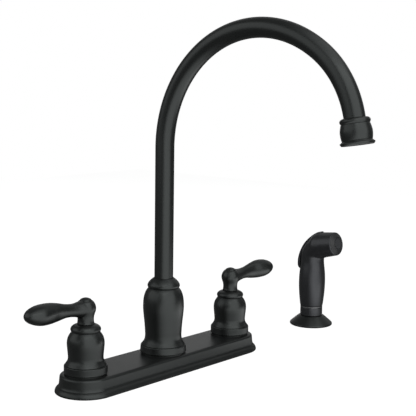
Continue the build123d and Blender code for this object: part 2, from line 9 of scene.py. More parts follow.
import bmesh
import bpy
import numpy as np
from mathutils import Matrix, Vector


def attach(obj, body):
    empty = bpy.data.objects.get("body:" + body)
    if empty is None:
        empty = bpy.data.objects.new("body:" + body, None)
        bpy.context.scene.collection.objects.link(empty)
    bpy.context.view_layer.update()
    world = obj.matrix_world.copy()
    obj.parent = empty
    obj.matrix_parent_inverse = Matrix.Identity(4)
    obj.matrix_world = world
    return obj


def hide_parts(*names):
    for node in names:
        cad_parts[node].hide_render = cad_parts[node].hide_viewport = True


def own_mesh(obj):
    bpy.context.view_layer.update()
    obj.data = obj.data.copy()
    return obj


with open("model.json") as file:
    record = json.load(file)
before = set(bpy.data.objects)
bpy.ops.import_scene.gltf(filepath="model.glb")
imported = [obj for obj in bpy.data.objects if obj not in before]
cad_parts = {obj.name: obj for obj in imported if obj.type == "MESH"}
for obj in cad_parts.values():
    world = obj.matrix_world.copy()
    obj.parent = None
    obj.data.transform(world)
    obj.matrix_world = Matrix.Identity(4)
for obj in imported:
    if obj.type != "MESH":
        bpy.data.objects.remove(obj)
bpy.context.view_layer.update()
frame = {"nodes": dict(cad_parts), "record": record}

# ---------------------------------------------------------------- base plate
# A thin zinc casting in matte black, long enough to cover the sink's three holes. It has a
# flat top, an upright band and a cove that flares out to the rounded lip on the deck.

MM = 0.001


def through(points, per_span=6):
    """Points on a smooth curve through the given ones: a cubic Hermite over chord length,
    whose slope at each point is that of the parabola through it and its two neighbours."""
    p = np.array(points, float)
    if len(p) == 2:
        return p
    t = np.concatenate([[0.0], np.cumsum(np.linalg.norm(np.diff(p, axis=0), axis=1))])
    m = np.gradient(p, t, axis=0, edge_order=2)
    s = np.linspace(0, 1, per_span, endpoint=False)[:, None]
    h = np.diff(t)[:, None, None]
    a, b, slope_a, slope_b = p[:-1, None], p[1:, None], m[:-1, None], m[1:, None]
    span = (1 + 2 * s) * (1 - s) ** 2 * a + s * (1 - s) ** 2 * h * slope_a
    span = span + s * s * (3 - 2 * s) * b + s * s * (s - 1) * h * slope_b
    return np.vstack([span.reshape(-1, p.shape[1]), p[-1:]])


def outline(*runs):
    """A turned or carried outline: a list of points is a smooth run, a tuple of them is joined
    by straight lines, and runs meet at a corner."""
    return np.vstack([through(run) if isinstance(run, list) else np.array(run, float)
                      for run in runs])


def racetrack(profile, straight, turns=40, along=14):
    """Carries (reach, height) points round a racetrack: each stands at its reach outwards
    from the nearest point of a spine that runs from -straight to +straight along X."""
    half_turn = np.linspace(-math.pi / 2, math.pi / 2, turns)
    way = np.linspace(1, -1, along)[1:-1]
    spine = np.concatenate([np.ones(turns), way, -np.ones(turns), -way]) * straight
    side = np.full(along - 2, math.pi / 2)
    angle = np.concatenate([half_turn, side, half_turn + math.pi, side + math.pi])
    reach, height = profile[:, :1], profile[:, 1:]
    x = spine + reach * np.cos(angle)
    return np.stack([x, reach * np.sin(angle), height + 0 * x], -1)


def skin(name, *grids, crease=35.0):
    """One closed mesh from grids of points (rows, columns, xyz in millimetres). Columns close
    on themselves, and rows that meet, such as a pole or a closed outline, are merged."""
    points, quads, used = [], [], 0
    for grid in grids:
        rows, columns = grid.shape[:2]
        index = np.arange(rows * columns).reshape(rows, columns) + used
        low, high = index[:-1], index[1:]
        quad = [low, high, np.roll(high, -1, 1), np.roll(low, -1, 1)]
        quads.append(np.stack(quad, -1).reshape(-1, 4))
        points.append(grid.reshape(-1, 3))
        used += rows * columns
    mesh = bpy.data.meshes.new(name)
    mesh.from_pydata(np.vstack(points) * MM, [], np.vstack(quads).tolist())
    work = bmesh.new()
    work.from_mesh(mesh)
    bmesh.ops.remove_doubles(work, verts=work.verts, dist=0.002 * MM)
    bmesh.ops.recalc_face_normals(work, faces=work.faces)
    work.to_mesh(mesh)
    work.free()
    mesh.polygons.foreach_set("use_smooth", np.ones(len(mesh.polygons), bool))
    mesh.set_sharp_from_angle(angle=math.radians(crease))
    piece = bpy.data.objects.new(name, mesh)
    bpy.context.scene.collection.objects.link(piece)
    return piece


class Wire:
    """One output in a material's node tree. Arithmetic on it adds Math nodes."""

    def __init__(self, tree, socket=None):
        self.tree = tree
        self.socket = socket

    def node(self, kind, feeds, take=0, **settings):
        """Adds any other node: feeds are its inputs by name or number, take is its output."""
        made = self.tree.nodes.new(kind)
        for key, value in settings.items():
            setattr(made, key, value)
        for key, value in feeds.items():
            if isinstance(value, Wire):
                self.tree.links.new(value.socket, made.inputs[key])
            else:
                made.inputs[key].default_value = value
        return Wire(self.tree, made.outputs[take] if len(made.outputs) else None)

    def mix(self, factor, dark, light):
        """A colour between two: Mix keeps its inputs for colours at 6 and 7 and gives it at 2."""
        feeds = {0: factor, 6: (*dark, 1), 7: (*light, 1)}
        return self.node("ShaderNodeMix", feeds, take=2, data_type="RGBA")

    def _math(self, operation, first, second=0.0):
        return self.node("ShaderNodeMath", {0: first, 1: second}, operation=operation)

    def __add__(self, other):
        return self._math("ADD", self, other)

    def __sub__(self, other):
        return self._math("SUBTRACT", self, other)

    def __rsub__(self, other):
        return self._math("SUBTRACT", other, self)

    def __mul__(self, other):
        return self._math("MULTIPLY", self, other)

    __radd__, __rmul__ = __add__, __mul__


def fresh_nodes(holder):
    """Empties a material's or world's node tree and gives a wire into it."""
    holder.use_nodes = True
    holder.node_tree.nodes.clear()
    return Wire(holder.node_tree)


def surface(name, build, **shader):
    """A material with one Principled shader. build(wire) returns its linked inputs by name,
    and the other keywords (spaces as _) are set on the shader's own sockets."""
    material = bpy.data.materials.new(name)
    wire = fresh_nodes(material)
    feeds = {key.replace("_", " "): value for key, value in shader.items()}
    feeds.update(build(wire))
    finish = wire.node("ShaderNodeBsdfPrincipled", feeds)
    wire.node("ShaderNodeOutputMaterial", {"Surface": finish})
    return material


def noise(wire, grain, detail=2.0, roughness=0.5):
    """Noise whose blotches are about this many millimetres across."""
    place = wire.node("ShaderNodeTexCoord", {}, take="Object")
    feeds = {"Vector": place, "Scale": 1 / (grain * MM), "Detail": detail, "Roughness": roughness}
    return wire.node("ShaderNodeTexNoise", feeds)


def satin(wire, dark, light, rough, grain=0.35, relief=0.012, spread=0.05):
    """A sprayed satin coat: a faint orange peel in relief, and a slow drift in gloss and tone."""
    drift = noise(wire, 22.0)
    peel = noise(wire, grain, detail=3.0)
    tone = wire.mix(drift, dark, light)
    bump = wire.node("ShaderNodeBump", {"Height": peel, "Strength": 0.25, "Distance": relief * MM})
    gloss = (drift - 0.5) * spread + (peel - 0.5) * 0.06 + rough
    return {"Base Color": tone, "Roughness": gloss, "Normal": bump}


def black_coat(wire):
    return satin(wire, (0.0068, 0.0074, 0.0073), (0.0086, 0.0094, 0.0092), 0.34)


matte_black = surface("matte_black_metal", black_coat, Specular_IOR_Level=0.5,
                      Specular_Tint=(0.93, 1.0, 0.985, 1.0))


def dress(piece, material, slot, body, *stands_for):
    """Gives a piece its finish in a new material slot, the body it rides and the nodes it replaces.
    The slot argument is not used.
    """
    piece.data.materials.append(material)
    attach(piece, body)
    if stands_for:
        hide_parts(*stands_for)


BASE = "faucet_base"
PLATE_TOP = 16.6
PLATE_STRAIGHT = 100.7
plate_edge = outline(
    ((0, PLATE_TOP), (19.0, PLATE_TOP), (21.2, PLATE_TOP)),
    [(21.2, PLATE_TOP), (22.3, 16.42), (23.25, 16.0), (23.85, 15.35), (24.15, 14.6)],
    [(24.15, 14.6), (24.35, 12.2), (24.63, 9.4), (24.78, 8.2), (25.05, 7.0), (25.65, 5.75)],
    ((25.65, 5.75), (25.62, 5.4), (25.95, 5.2)),
    [(25.95, 5.2), (26.75, 4.6), (27.65, 3.6), (28.3, 2.4), (28.6, 1.3), (28.57, 0.5),
     (28.1, 0.02)],
    ((28.1, 0.02), (25.1, 0.02), (25.1, 1.55), (21.2, 1.55), (21.2, 14.0), (0, 14.0)),
)
plate = skin("base_plate", racetrack(plate_edge, PLATE_STRAIGHT))
dress(plate, matte_black, "black_finish", BASE, "deck_plate")

# ---------------------------------------------------------------- gasket, valves and hub
# Under the plate lie a rubber gasket, two brass valve bodies joined to a brass hub by copper
# tubes, and their nuts. They are plain machined parts, mostly out of sight once installed.


def machined(dark, light, rough, grain):
    """Turned or cast metal: fine tool marks in tone and relief, with a slow stain over them."""
    def build(wire):
        marks = noise(wire, grain, detail=4.0, roughness=0.7)
        stain = noise(wire, 9.0)
        tone = wire.mix(stain * 0.6 + marks * 0.4, dark, light)
        relief = {"Height": marks, "Strength": 0.3, "Distance": 0.02 * MM}
        bump = wire.node("ShaderNodeBump", relief)
        return {"Base Color": tone, "Roughness": stain * 0.12 + marks * 0.1 + rough, "Normal": bump}
    return build


def inner_metal(name, *look):
    return surface(name, machined(*look), Metallic=1.0)


inner_finishes = {
    "brass": inner_metal("machined_brass", (0.60, 0.43, 0.20), (0.78, 0.62, 0.34), 0.22, 0.25),
    "copper": inner_metal("drawn_copper", (0.55, 0.27, 0.16), (0.80, 0.47, 0.32), 0.25, 0.4),
    "steel": inner_metal("bright_steel", (0.42, 0.43, 0.44), (0.62, 0.63, 0.64), 0.25, 0.2),
    "rubber": surface("moulded_rubber",
                      machined((0.012, 0.012, 0.012), (0.022, 0.022, 0.021), 0.62, 0.3)),
    "acetal": surface("white_acetal",
                      machined((0.66, 0.66, 0.62), (0.76, 0.76, 0.72), 0.38, 0.5)),
    "ceramic": surface("lapped_ceramic",
                       machined((0.76, 0.75, 0.71), (0.84, 0.83, 0.80), 0.12, 0.2)),
}


def finish_solid(node, material):
    """Gives a solid that keeps its own shape a finish."""
    slots = frame["nodes"][node].data.materials
    slots.clear()
    slots.append(material)


for part in frame["record"]["subparts"]:
    if part["material_slot"] in inner_finishes:
        finish_solid(part["node"], inner_finishes[part["material_slot"]])

# ---------------------------------------------------------------- diverter's spring
# A short spring of round steel wire inside the hub. It presses the diverter's poppet down,
# and is squeezed against its upper end as the poppet lifts.


def coil(turns, length, middle, wire_radius, steps=40, columns=10):
    """A spring along Z from 0 to length: circles of the wire's radius carried along a helix
    of the middle radius, closed at both ends."""
    t = np.linspace(0, 1, int(turns * steps))
    t = np.append(np.append(t[:1], t), t[-1:])[:, None]
    size = np.full_like(t, wire_radius)
    size[[0, -1]] = 0.0
    swing, angle = 2 * math.pi * turns * t, np.linspace(0, 2 * math.pi, columns, endpoint=False)
    radius = middle + size * np.cos(angle)
    height = wire_radius + (length - 2 * wire_radius) * t + size * np.sin(angle)
    return np.stack([radius * np.cos(swing), radius * np.sin(swing), height], -1)


DIVERTER_BOTTOM, DIVERTER_TOP = 22.05, 24.95
loops = coil(2.0, DIVERTER_TOP - DIVERTER_BOTTOM, 3.95, 0.18)
diverter_spring = skin("diverter_coil", loops + (0, 0, DIVERTER_BOTTOM))
dress(diverter_spring, inner_finishes["steel"], "steel", BASE, "diverter_spring")
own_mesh(diverter_spring)

# ---------------------------------------------------------------- handle bells
# Two turned brass covers over the valves, coated like the plate. Each stands on a plain band,
# sweeps in through a cove to a waist, swells to a belly and ends in a rounded ring.

HANDLE_X = 101.6


def turned(profile, x=0.0, columns=112):
    """Turns (radius, height) points about an upright axis at x."""
    angle = np.linspace(0, 2 * math.pi, columns, endpoint=False)
    radius, height = profile[:, :1], profile[:, 1:]
    across = radius * np.cos(angle)
    return np.stack([x + across, radius * np.sin(angle), height + 0 * across], -1)


bell_outline = outline(
    ((17.3, 16.62), (18.8, 16.62), (18.8, 17.62), (19.15, 17.62)),
    [(19.15, 17.62), (19.4, 17.8), (19.66, 18.2), (19.68, 19.2)],
    [(19.68, 19.2), (19.66, 21.5), (19.66, 23.9)],
    [(19.66, 23.9), (19.6, 24.45), (19.4, 24.82), (19.05, 24.95)],
    ((19.05, 24.95), (18.5, 24.85), (18.8, 25.45)),
    [(18.8, 25.45), (18.0, 26.6), (16.9, 28.2), (16.2, 29.9), (15.95, 32.0), (16.08, 34.4),
     (16.4, 38.0), (16.8, 42.0), (16.93, 45.0), (16.6, 48.0), (15.85, 50.5), (14.7, 52.6),
     (13.5, 54.3)],
    ((13.5, 54.3), (12.95, 54.95), (12.6, 55.4), (13.15, 55.8)),
    [(13.15, 55.8), (13.55, 56.6), (13.72, 57.5), (13.5, 58.6), (12.65, 59.9), (11.2, 61.0),
     (9.4, 61.75), (7.9, 62.05), (7.45, 61.6)],
    ((7.45, 61.6), (7.4, 60.4), (10.6, 55.6), (13.65, 46.6), (13.65, 31.6), (17.3, 23.6),
     (17.3, 16.62)),
)
for side, x in (("hot", -HANDLE_X), ("cold", HANDLE_X)):
    bell = skin(side + "_bell_cover", turned(bell_outline, x))
    dress(bell, matte_black, "black_finish", BASE, side + "_bell")

# ---------------------------------------------------------------- levers
# Each lever is one zinc casting: a neck that rises through the bell, a ball, and an arm that
# thins and then swells to a teardrop paddle. A pressed-in button hides the screw in the ball.

LEVER_LENGTH = 68.6
TIP_LENGTH = 18.7
JOIN_GRID = 0.36

ball_outline = outline(
    ((0, 59.3), (6.6, 59.3), (7.05, 59.8), (7.05, 62.2), (7.9, 62.3)),
    [(7.9, 62.3), (7.75, 63.0), (7.45, 64.3), (7.32, 66.2), (7.36, 68.0), (7.6, 69.6), (8.05, 71.2),
     (8.65, 72.9), (9.14, 74.6), (9.3, 76.3), (9.14, 78.0), (8.57, 79.9), (7.71, 81.5), (6.9, 82.6),
     (5.95, 83.5)],
    ((5.95, 83.5), (5.3, 82.9), (0, 82.9)),
)
# Distance from the axis, middle height, half height, half width: of the arm, of its flared
# root, and of the web below the root.
arm_stations = [
    (1.0, 75.0, 6.6, 5.6),
    (5.0, 75.0, 7.3, 6.5),
    (9.0, 75.8, 6.65, 6.2),
    (14.0, 76.65, 6.05, 5.75),
    (24.0, 77.7, 6.25, 5.2),
    (34.0, 78.3, 8.2, 6.1),
    (44.0, 78.65, 9.35, 9.2),
    (54.0, 78.75, 9.2, 11.0),
    (62.0, 78.95, 8.85, 11.0),
    (LEVER_LENGTH, 79.0, 8.75, 11.0),
]
root_stations = [
    (2.0, 76.2, 7.2, 8.5),
    (5.0, 76.5, 7.1, 8.1),
    (8.0, 76.6, 6.95, 7.3),
    (10.5, 76.6, 6.6, 6.6),
    (13.0, 76.7, 6.25, 6.1),
    (16.0, 76.9, 6.0, 5.7),
    (21.0, 77.4, 5.8, 5.2),
]
web_stations = [
    (2.0, 70.0, 6.6, 4.2),
    (5.9, 70.6, 6.0, 4.4),
    (6.9, 71.4, 5.2, 4.5),
    (7.5, 72.4, 4.5, 4.6),
    (8.7, 73.2, 4.1, 4.7),
    (10.4, 73.9, 4.25, 4.7),
    (14.0, 74.8, 4.25, 4.4),
    (19.0, 75.6, 4.2, 3.8),
]


def ovals(distance, middle, tall, wide, columns=72):
    """Ellipses square to X, each at its distance and middle height, closed at both ends."""
    distance, middle, tall, wide = (np.append(np.append(run[0], run), run[-1])[:, None]
                                    for run in (distance, middle, tall, wide))
    tall[[0, -1]] = wide[[0, -1]] = 0.0
    angle = np.linspace(0, 2 * math.pi, columns, endpoint=False)
    oval = [distance + 0 * angle, wide * np.cos(angle), middle + tall * np.sin(angle)]
    return np.stack(oval, -1)


def arm(stations):
    """Ovals whose sizes run smoothly through the stations. Past the paddle's widest part they
    shrink as a quarter ellipse does, so that the tip is round."""
    along = through(stations, per_span=9)
    start = LEVER_LENGTH - TIP_LENGTH
    eased = np.sin(np.linspace(0, math.pi / 2, 40))
    distance = np.concatenate([along[along[:, 0] < start, 0], start + TIP_LENGTH * eased])
    middle, tall, wide = (np.interp(distance, along[:, 0], along[:, k]) for k in (1, 2, 3))
    shrink = np.sqrt(np.clip(1 - (np.clip(distance - start, 0, None) / TIP_LENGTH) ** 2, 0, 1))
    return ovals(distance, middle, tall * shrink, wide * shrink)


def bake(piece):
    """Replaces a piece's mesh by what its modifiers make of it."""
    seen = piece.evaluated_get(bpy.context.evaluated_depsgraph_get())
    mesh = bpy.data.meshes.new_from_object(seen)
    mesh.polygons.foreach_set("use_smooth", np.ones(len(mesh.polygons), bool))
    piece.modifiers.clear()
    piece.data = mesh


def melt(piece, voxel, passes):
    """Joins a piece's overlapping forms into one skin with soft inner corners: the mesh is
    rebuilt on a fine grid, then relaxed a few times."""
    remesh = piece.modifiers.new("join", "REMESH")
    remesh.mode = "VOXEL"
    remesh.voxel_size = voxel * MM
    relax = piece.modifiers.new("relax", "SMOOTH")
    relax.factor = 0.5
    relax.iterations = passes
    bake(piece)


def stand_at(grid, x, turned_round):
    """Moves a form from the origin to x, half a turn round for the hot side."""
    way = -1.0 if turned_round else 1.0
    return grid * (way, way, 1.0) + (x, 0.0, 0.0)


button_outline = outline(
    ((0, 82.0), (5.3, 82.0), (5.35, 83.55)),
    [(5.35, 83.55), (5.25, 83.95), (4.85, 84.4), (4.1, 84.95), (2.9, 85.5), (1.5, 85.9),
     (0, 86.02)],
)
for side, x, turned_round in (("hot", -HANDLE_X, True), ("cold", HANDLE_X, False)):
    body = side + "_handle"
    root, web = (ovals(*through(stations).T) for stations in (root_stations, web_stations))
    forms = (turned(ball_outline), arm(arm_stations), root, web)
    lever = skin(side + "_lever_handle", *(stand_at(form, x, turned_round) for form in forms))
    melt(lever, voxel=JOIN_GRID, passes=14)
    dress(lever, matte_black, "black_finish", body, side + "_lever")
    button = skin(side + "_lever_button", turned(button_outline, x, columns=72))
    dress(button, matte_black, "black_finish", body, side + "_cap_button")

# ---------------------------------------------------------------- spout urn
# The spout rises out of a taller turned cover of the same family as the bells, which hides
# the brass hub and its retaining nut.

urn_outline = outline(
    ((19.3, 16.62), (21.4, 16.62), (21.4, 17.62), (21.75, 17.62)),
    [(21.75, 17.62), (22.05, 17.8), (22.3, 18.2), (22.3, 19.3)],
    [(22.3, 19.3), (22.1, 21.5), (21.95, 23.6)],
    [(21.95, 23.6), (21.85, 24.15), (21.6, 24.5), (21.3, 24.62)],
    ((21.3, 24.62), (20.7, 24.5), (21.0, 25.1)),
    [(21.0, 25.1), (19.85, 26.6), (18.7, 28.3), (18.0, 30.4), (17.66, 33.8), (17.82, 38.0),
     (18.4, 46.0), (19.25, 54.0), (19.75, 60.0), (19.75, 64.0), (19.45, 68.5), (18.7, 72.6),
     (17.4, 76.3), (15.6, 79.1)],
    ((15.6, 79.1), (14.9, 79.85), (14.5, 80.25), (15.0, 80.65)),
    [(15.0, 80.65), (15.45, 81.4), (15.62, 82.6), (15.25, 84.1), (14.1, 85.9), (12.3, 87.8),
     (10.6, 89.2), (9.75, 89.7), (9.45, 89.3)],
    ((9.45, 89.3), (9.45, 87.1), (12.4, 81.6), (13.4, 78.6), (17.5, 69.1), (17.5, 59.6),
     (15.9, 39.6), (15.9, 31.6), (19.3, 23.6), (19.3, 16.62)),
)
urn = skin("spout_urn_cover", turned(urn_outline, columns=128))
dress(urn, matte_black, "black_finish", BASE, "spout_urn")

# ---------------------------------------------------------------- gooseneck tube
# One length of drawn brass tube, 18.2 mm across, bent to two arcs: a long one over the top
# and a tighter one down to the outlet. It turns with the collar and outlet at its end.

TUBE_RADIUS = 9.06
RISER_TOP = 215.1
LONG_RADIUS = 110.3
LONG_TURN = math.radians(126)
TIGHT_RADIUS = 89.0
END_TURN = math.radians(170)


def bend(radius, start, end, centre, steps):
    """Points (y, z, heading) on an arc; heading is the angle turned from straight up."""
    turn = np.linspace(start, end, steps)
    y, z = centre[0] + radius * np.cos(turn), centre[1] + radius * np.sin(turn)
    return np.stack([y, z, turn], -1)


long_bend = bend(LONG_RADIUS, 0.0, LONG_TURN, (-LONG_RADIUS, RISER_TOP), 90)
outward = np.array([math.cos(LONG_TURN), math.sin(LONG_TURN)])
tight_centre = long_bend[-1, :2] - TIGHT_RADIUS * outward
tight_bend = bend(TIGHT_RADIUS, LONG_TURN, END_TURN, tight_centre, 40)
OUTLET = tight_bend[-1, :2]


def tube(centre_line, radius, columns=72):
    """Circles square to a centre line of (y, z, heading) points, closed at both ends."""
    y, z, heading = centre_line.T[:, :, None]
    size = np.full_like(y, radius)
    size[[0, -1]] = 0.0
    angle = np.linspace(0, 2 * math.pi, columns, endpoint=False)
    outward = size * np.cos(angle)
    points = [size * np.sin(angle), y + outward * np.cos(heading), z + outward * np.sin(heading)]
    return np.stack(points, -1)


riser = [(0.0, height, 0.0) for height in (40.0, 40.0, 60.0, 100.0, 160.0, 214.0)]
centre_line = np.vstack([riser, long_bend, tight_bend[1:], tight_bend[-1:]])
gooseneck = skin("gooseneck_tube", tube(centre_line, TUBE_RADIUS))
dress(gooseneck, matte_black, "black_finish", "spout", "spout_tube")

# ---------------------------------------------------------------- outlet collar and aerator
# A turned collar is brazed on the tube's end: a rolled ring, a groove, a slightly swollen
# barrel and a thin flange. The aerator's cup and moulded screen screw into its mouth.


def at_outlet(grid):
    """Leans a form that hangs from the origin out to the outlet's angle and place."""
    lean = math.pi - END_TURN
    y, z = grid[..., 1], grid[..., 2]
    out = [grid[..., 0], y * math.cos(lean) + z * math.sin(lean) + OUTLET[0],
           z * math.cos(lean) - y * math.sin(lean) + OUTLET[1]]
    return np.stack(out, -1)


collar_outline = outline(
    ((9.25, 3.1), (10.1, 3.25)),
    [(10.1, 3.25), (11.4, 2.75), (12.35, 1.9), (12.78, 0.85), (12.7, -0.15), (12.3, -1.0)],
    ((12.3, -1.0), (11.85, -1.5), (12.2, -2.0)),
    [(12.2, -2.0), (12.85, -4.5), (13.4, -7.3), (13.42, -10.0), (13.1, -13.0), (12.78, -14.7)],
    ((12.78, -14.7), (12.5, -15.1), (12.8, -15.4)),
    [(12.8, -15.4), (13.3, -16.0), (14.25, -16.6)],
    [(14.25, -16.6), (14.5, -17.1), (14.35, -17.7)],
    [(14.35, -17.7), (13.9, -18.5), (13.2, -19.1)],
    ((13.2, -19.1), (11.0, -19.1), (11.0, -1.0), (9.25, -1.0), (9.25, 3.1)),
)
collar = skin("outlet_collar_ring", at_outlet(turned(collar_outline, columns=96)))
dress(collar, matte_black, "black_finish", "spout", "outlet_collar")


def black_moulding(wire):
    return satin(wire, (0.016, 0.0166, 0.018), (0.0195, 0.0202, 0.022), 0.34, grain=0.6,
                 relief=0.02)


black_plastic = surface("matte_black_plastic", black_moulding, Specular_IOR_Level=0.6,
                        Specular_Tint=(0.92, 0.95, 1.0, 1.0))
for node in ("aerator_housing", "aerator_screen"):
    finish_solid(node, black_plastic)

# ---------------------------------------------------------------- sprayer holder
# The side sprayer stands in its own hole, in a flanged holder: a shallow cone with a rolled
# rim, coated like the plate, on a threaded shank that goes through the deck.

SPRAYER_X = 250.7

holder_outline = outline(
    [(22.9, 0.02), (23.8, 0.3), (24.25, 1.2), (24.15, 2.2), (23.4, 3.0)],
    [(23.4, 3.0), (22.0, 4.3), (20.1, 5.95), (18.0, 7.75), (16.0, 9.4), (14.7, 10.45)],
    [(14.7, 10.45), (14.2, 10.75), (13.6, 10.85)],
    ((13.6, 10.85), (11.5, 10.85), (10.9, 10.3), (10.9, -18.0), (9.0, -20.0), (9.0, -45.0),
     (13.0, -45.0), (13.0, 1.0), (20.1, 1.0), (20.1, 0.02), (22.9, 0.02)),
)
holder = skin("sprayer_holder_flange", turned(holder_outline, SPRAYER_X))
dress(holder, matte_black, "black_finish", BASE, "sprayer_holder")

# ---------------------------------------------------------------- sprayer coupling
# The wand screws to a plastic coupling that rests in the holder. Only its black collar shows,
# with a thin satin metal ring above it.

coupling_outline = outline(
    [(11.9, 11.02), (12.4, 11.3), (12.6, 12.1)],
    [(12.6, 12.1), (12.66, 16.0), (12.6, 20.0)],
    [(12.6, 20.0), (12.4, 20.5), (11.9, 20.67)],
    ((11.9, 20.67), (8.5, 20.67), (8.5, 29.5), (4.0, 29.5), (4.0, 0.0), (5.2, -0.5), (5.2, -15.0),
     (9.6, -15.0), (10.6, -13.5), (10.6, 11.02), (11.9, 11.02)),
)
coupling = skin("sprayer_collar", turned(coupling_outline, SPRAYER_X, columns=80))
dress(coupling, black_plastic, "black_plastic", "sprayer_coupling", "spray_coupling")


def satin_ring(wire):
    return satin(wire, (0.26, 0.265, 0.27), (0.34, 0.345, 0.35), 0.36)


ring_metal = surface("satin_trim_metal", satin_ring, Metallic=1.0)
trim_outline = outline(
    ((8.6, 20.71), (12.2, 20.71)),
    [(12.2, 20.71), (12.68, 20.95), (12.72, 21.4), (12.3, 21.69)],
    ((12.3, 21.69), (8.6, 21.69), (8.6, 20.71)),
)
trim = skin("sprayer_trim_ring", turned(trim_outline, SPRAYER_X, columns=80))
dress(trim, ring_metal, "trim_metal", "sprayer_coupling", "spray_trim_ring")

# ---------------------------------------------------------------- sprayer wand
# The wand is a moulded shell: a grip that swells and narrows again, an elbow, and a head that
# looks towards the user and a little up. Its back is slotted for the trigger.

HEAD_TILT = math.radians(10.6)
HEAD_FACE = (-32.0, 97.3)
HEAD_RADIUS = 13.05
HEAD_TAPER = 0.0986


def leaning_ovals(stations, columns=96):
    """Ovals given by (y, z, lean, fore radius, side radius), closed at both ends: lean turns
    each about X, in degrees."""
    run = through(stations, per_span=7)
    run = np.vstack([run[:1], run, run[-1:]])
    run[[0, -1], 3:] = 0.0
    y, z, lean, fore, side = run.T[:, :, None]
    angle = np.linspace(0, 2 * math.pi, columns, endpoint=False)
    x, reach = SPRAYER_X + side * np.cos(angle), fore * np.sin(angle)
    lean = np.radians(lean)
    return np.stack([x, y + reach * np.cos(lean), z + reach * np.sin(lean)], -1)


def at_head(grid):
    """Carries a form that looks up the Z axis with its face at the origin to the spray head."""
    y, z = grid[..., 1], grid[..., 2]
    sine, cosine = math.sin(HEAD_TILT), math.cos(HEAD_TILT)
    out = [SPRAYER_X + grid[..., 0], y * sine - z * cosine + HEAD_FACE[0],
           y * cosine + z * sine + HEAD_FACE[1]]
    return np.stack(out, -1)


grip_stations = [
    (0, 21.75, 0, 12.4, 12.4), (0, 22.2, 0, 12.75, 12.75), (0, 23.2, 0, 12.95, 12.95),
    (0, 26.0, 0, 13.35, 13.35), (0, 30.5, 0, 13.88, 13.88), (0, 36.0, 0, 14.42, 14.42),
    (0, 42.0, 0, 14.82, 14.82), (0, 48.0, 0, 15.02, 15.02), (0, 54.0, 0, 14.95, 14.95),
    (0, 60.0, 0, 14.65, 14.65), (0, 65.0, 0, 14.15, 14.15), (0, 69.5, 0, 13.55, 13.55),
    (0, 73.5, 0, 13.15, 13.2), (-0.1, 78.0, 3, 13.05, 13.3), (-0.8, 82.9, 20, 13.0, 13.6),
    (-3.05, 86.3, 38, 12.7, 14.0), (-6.15, 89.4, 57.8, 13.1, 14.6),
    (-12.34, 93.62, 79.4, 14.9, 14.9), (-15.0, 94.1, 79.4, 14.6, 14.6),
]
HEAD_BACK = 20.0
BACK_RADIUS = HEAD_RADIUS + HEAD_TAPER * HEAD_BACK - 0.4
head_outline = outline(
    ((0, -HEAD_BACK), (BACK_RADIUS, -HEAD_BACK), (HEAD_RADIUS + 0.15, -1.6)),
    [(HEAD_RADIUS + 0.15, -1.6), (HEAD_RADIUS - 0.02, -0.6), (HEAD_RADIUS - 0.4, -0.02)],
    ((HEAD_RADIUS - 0.4, -0.02), (0, -0.02)),
)
wand = skin("wand_shell_moulding", leaning_ovals(grip_stations), at_head(turned(head_outline)))
melt(wand, voxel=0.42, passes=26)

# The trigger's side view: its outer curve down the back, and the curve of its inner face.
trigger_back = [(-13.0, 108.9), (-10.0, 108.95), (-5.5, 106.9), (1.8, 101.6), (8.2, 95.2),
                (13.0, 87.4), (16.0, 79.8), (17.3, 72.0), (16.9, 67.0), (15.2, 62.9)]
trigger_inner = [(-13.0, 104.6), (-9.2, 103.2), (-4.4, 101.0), (0.6, 97.4), (5.4, 92.6),
                 (9.8, 86.0), (12.6, 79.5), (13.6, 72.5), (13.75, 67.2), (13.5, 63.3)]


def strip(back, inner, half_width, spare=0.0, outward=0.0, columns=48):
    """Rounded-oblong sections between two side-view curves, square to the wand's middle
    plane. Its ends are round seen from behind; spare grows it all over, for a pocket."""
    outer = through(back, per_span=8)
    inner = through(inner, per_span=8)
    across = outer - inner
    depth = np.linalg.norm(across, axis=1, keepdims=True)
    white_and_pool_glow = across / depth
    outer, inner = outer + white_and_pool_glow * (spare + outward), inner - white_and_pool_glow * spare
    run = np.concatenate([[0.0], np.cumsum(np.linalg.norm(np.diff(outer, axis=0), axis=1))])
    to_end = np.minimum(run, run[-1] - run) + spare + 0.25
    wide = half_width + spare
    wide = wide * np.sqrt(1 - np.clip(1 - to_end / wide, 0, 1) ** 2)
    wide[[0, -1]] = 0.0
    thick = np.linalg.norm(outer - inner, axis=1) / 2
    thick[[0, -1]] = 0.0
    angle = np.linspace(0, 2 * math.pi, columns, endpoint=False)
    square = 0.42
    side = np.sign(np.cos(angle)) * np.abs(np.cos(angle)) ** square
    rise = np.sign(np.sin(angle)) * np.abs(np.sin(angle)) ** square
    middle = (outer + inner) / 2
    y = middle[:, :1] + (thick * white_and_pool_glow[:, 0])[:, None] * rise
    z = middle[:, 1:] + (thick * white_and_pool_glow[:, 1])[:, None] * rise
    return np.stack([SPRAYER_X + wide[:, None] * side, y, z], -1)


def carve(piece, *cutters):
    """Cuts other meshes out of a piece and removes them."""
    for cutter in cutters:
        cut = piece.modifiers.new("cut", "BOOLEAN")
        cut.operation = "DIFFERENCE"
        cut.solver = "EXACT"
        cut.object = cutter
    bpy.context.view_layer.update()
    bake(piece)
    piece.data.set_sharp_from_angle(angle=math.radians(40))
    for cutter in cutters:
        bpy.data.objects.remove(cutter)


TRIGGER_HALF_WIDTH = 6.0
TRIGGER_PIVOT = (-9.5, 104.6)
TRIGGER_TRAVEL = math.radians(5)


def pressed(grid):
    """Turns a form about the trigger's pin by the trigger's full travel."""
    y, z = grid[..., 1] - TRIGGER_PIVOT[0], grid[..., 2] - TRIGGER_PIVOT[1]
    sine, cosine = math.sin(TRIGGER_TRAVEL), math.cos(TRIGGER_TRAVEL)
    out = [grid[..., 0], y * cosine + z * sine + TRIGGER_PIVOT[0],
           z * cosine - y * sine + TRIGGER_PIVOT[1]]
    return np.stack(out, -1)


